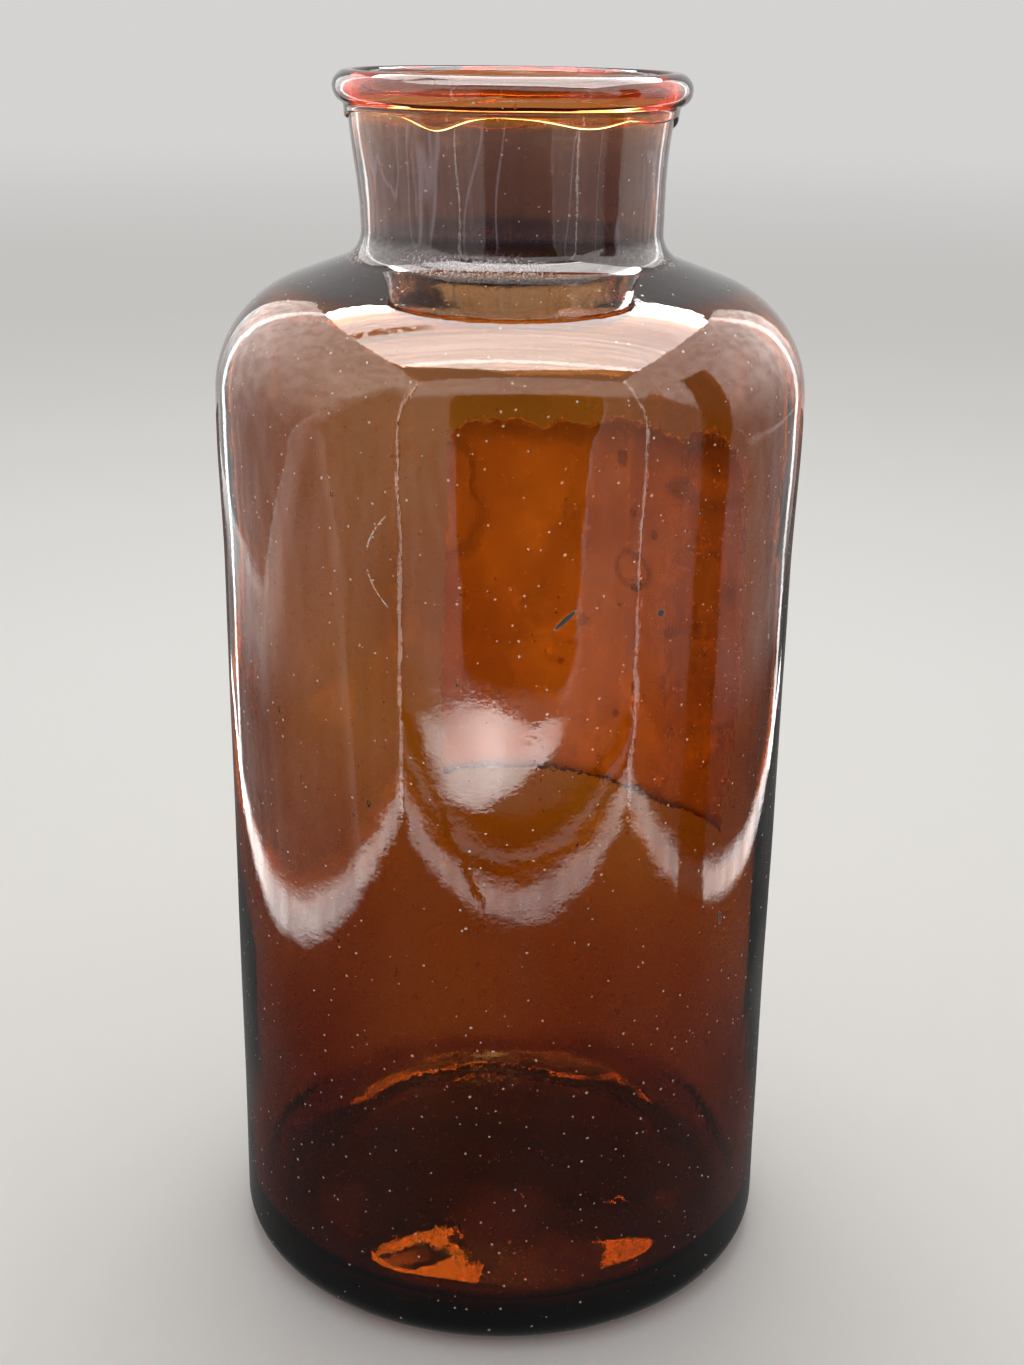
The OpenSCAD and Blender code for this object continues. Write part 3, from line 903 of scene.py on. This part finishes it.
def glow(net, x, y, z):
    """Mottled light round a dark disc. Only rays that have passed four glass surfaces see it: it
    makes the glow in the front corner of the bottle's floor and leaves the label's outside alone."""
    mottle = net.ramp(net.noise(net.combine(x, y), 60, 3.0, 0.7), 0.30, 0.70, 0.65, 1.30)
    off_x, off_y = x + 0.025, y - 0.265
    disc = net.ramp(net.math("SQRT", off_x * off_x + off_y * off_y), 0.026, 0.038)
    start = net.ramp(abs(x), 0.10, 0.13, 0.230, 0.212)
    end = net.ramp(x, 0.0, 0.06, 0.317, 0.352)
    inside = net.between(x, -0.165, 0.25, 0.012) * net.ramp(y - start, -0.006, 0.006)
    inside = inside * net.ramp(y - end, 0.008, -0.008)
    through = net.math("GREATER_THAN", net.wire(net.node("LightPath"), "Transmission Depth"), 3.5)
    return inside * mottle * disc * through * GLOW_RADIANCE


def tent_card(name, verts, faces, radiance, glow_levels=()):
    """A glowing wall of the tent. Only what glass reflects and refracts shows it."""
    card = stage_object(name, verts, faces)
    if glow_levels:
        card.data.attributes.new("glow", "FLOAT", "POINT").data.foreach_set("value", glow_levels)
    card.visible_camera = card.visible_diffuse = card.visible_shadow = False
    mat, net = material(name)
    strength = radiance(net, *net.separate(net.place()))
    net.finish(net.node("Emission", {"Color": TENT_COLOUR, "Strength": strength}))
    card.data.materials.append(mat)
    return card


def tent_wall(name, start, end, radiance):
    """An upright card between two points on the floor."""
    verts = [(x, y, z) for x, y in (start, end) for z in (0.0, TENT_TOP)]
    tent_card(name, verts, [(0, 1, 3, 2)], radiance)


def tent_cover(name, edge, radiance):
    """A level card at the tent's top."""
    return tent_card(name, [(x, y, TENT_TOP) for x, y in edge], [tuple(range(len(edge)))], radiance)


def make_patch():
    """Rings of points that shrink to the middle, each with its share of the patch's light."""
    edge, middle, n = np.array(PATCH_EDGE), np.array(PATCH_MIDDLE), len(PATCH_EDGE)
    rings = [middle + (edge - middle) * reach for reach in (1.12, 0.86, 0.5)]
    flat = np.concatenate(rings + [middle[None]])
    verts = [(x * MM, CORNER_L[1] + 0.0007 + (x * MM - TENT_LEFT) * 0.0828, z * MM) for x, z in flat]
    faces = []
    for ring in range(2):
        for k in range(n):
            a, b = ring * n + k, ring * n + (k + 1) % n
            faces.append((a, b, b + n, a + n))
    faces += [(2 * n + k, 2 * n + (k + 1) % n, 3 * n) for k in range(n)]
    level = np.clip(0.80 + 0.25 * (flat[:, 0] + 60) / 60, 0.55, 1.0)
    level[:n] = 0
    level[n:2 * n] *= 0.75
    tent_card("tent_patch", verts, faces, patch, level.tolist()).visible_transmission = False


def make_tent():
    tent_wall("tent_left", (TENT_LEFT, TENT_BACK), CORNER_L, left_wall)
    tent_wall("tent_flap", CORNER_L, CORNER_R, flap)
    make_patch()
    tent_wall("tent_right", CORNER_R, (0.228, TENT_BACK), right_wall)
    tent_cover("tent_roof", ROOF_EDGE, roof)
    tent_card("tent_ground", sheet(0.9, -5e-5), [(0, 1, 2, 3)], ground).visible_transmission = False
    tent_cover("tent_glow", GLOW_EDGE, glow).visible_glossy = False


# The photograph's own viewpoint, found by fitting the bottle's outline to it
CAMERA_PLACE = (0, -0.3861, 0.2649)
CAMERA_PITCH, CAMERA_YAW, CAMERA_ROLL = (math.radians(v) for v in (19.543, 0.187, 0.809))
FOCAL_PX, FRAME_LONG_PX = 1893.0, 1365.0


def make_camera():
    flat = math.cos(CAMERA_PITCH)
    ahead = Vector((math.sin(CAMERA_YAW) * flat, math.cos(CAMERA_YAW) * flat, -math.sin(CAMERA_PITCH)))
    level = Vector((math.cos(CAMERA_YAW), -math.sin(CAMERA_YAW), 0))
    up = level.cross(ahead)
    right = math.cos(CAMERA_ROLL) * level + math.sin(CAMERA_ROLL) * up
    over = -math.sin(CAMERA_ROLL) * level + math.cos(CAMERA_ROLL) * up
    data = bpy.data.cameras.new("camera")
    data.sensor_width = 36.0
    data.lens = FOCAL_PX / FRAME_LONG_PX * data.sensor_width
    data.clip_start, data.clip_end = 0.01, 100
    cam = bpy.data.objects.new("camera", data)
    turn = Matrix((right, over, -ahead)).transposed()
    cam.matrix_world = Matrix.Translation(CAMERA_PLACE) @ turn.to_4x4()
    bpy.context.scene.collection.objects.link(cam)
    bpy.context.scene.camera = cam


# The scene

bottle = make_body()
bottle.data.materials.append(
    glass("amber_glass", BODY_TINT, BODY_ABSORB, BODY_DENSITY, streaks=0.8, dust=1.0, soiled_and_shaded=True))
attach(bottle, "root")
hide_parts("bottle_body")

lip = make_lip()
lip.data.materials.append(
    glass("lip_glass", LIP_TINT, LIP_ABSORB, LIP_DENSITY, streaks=0.3, dust=0.4, soiled_and_shaded=False))
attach(lip, "root")
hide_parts("applied_lip")

label = make_label()
label.data.materials.append(paper())
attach(label, "root")
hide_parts("paper_label")

make_floor()
make_world()
make_lamp()
make_tent()
make_camera()

bpy.context.scene.view_settings.view_transform = "Standard"
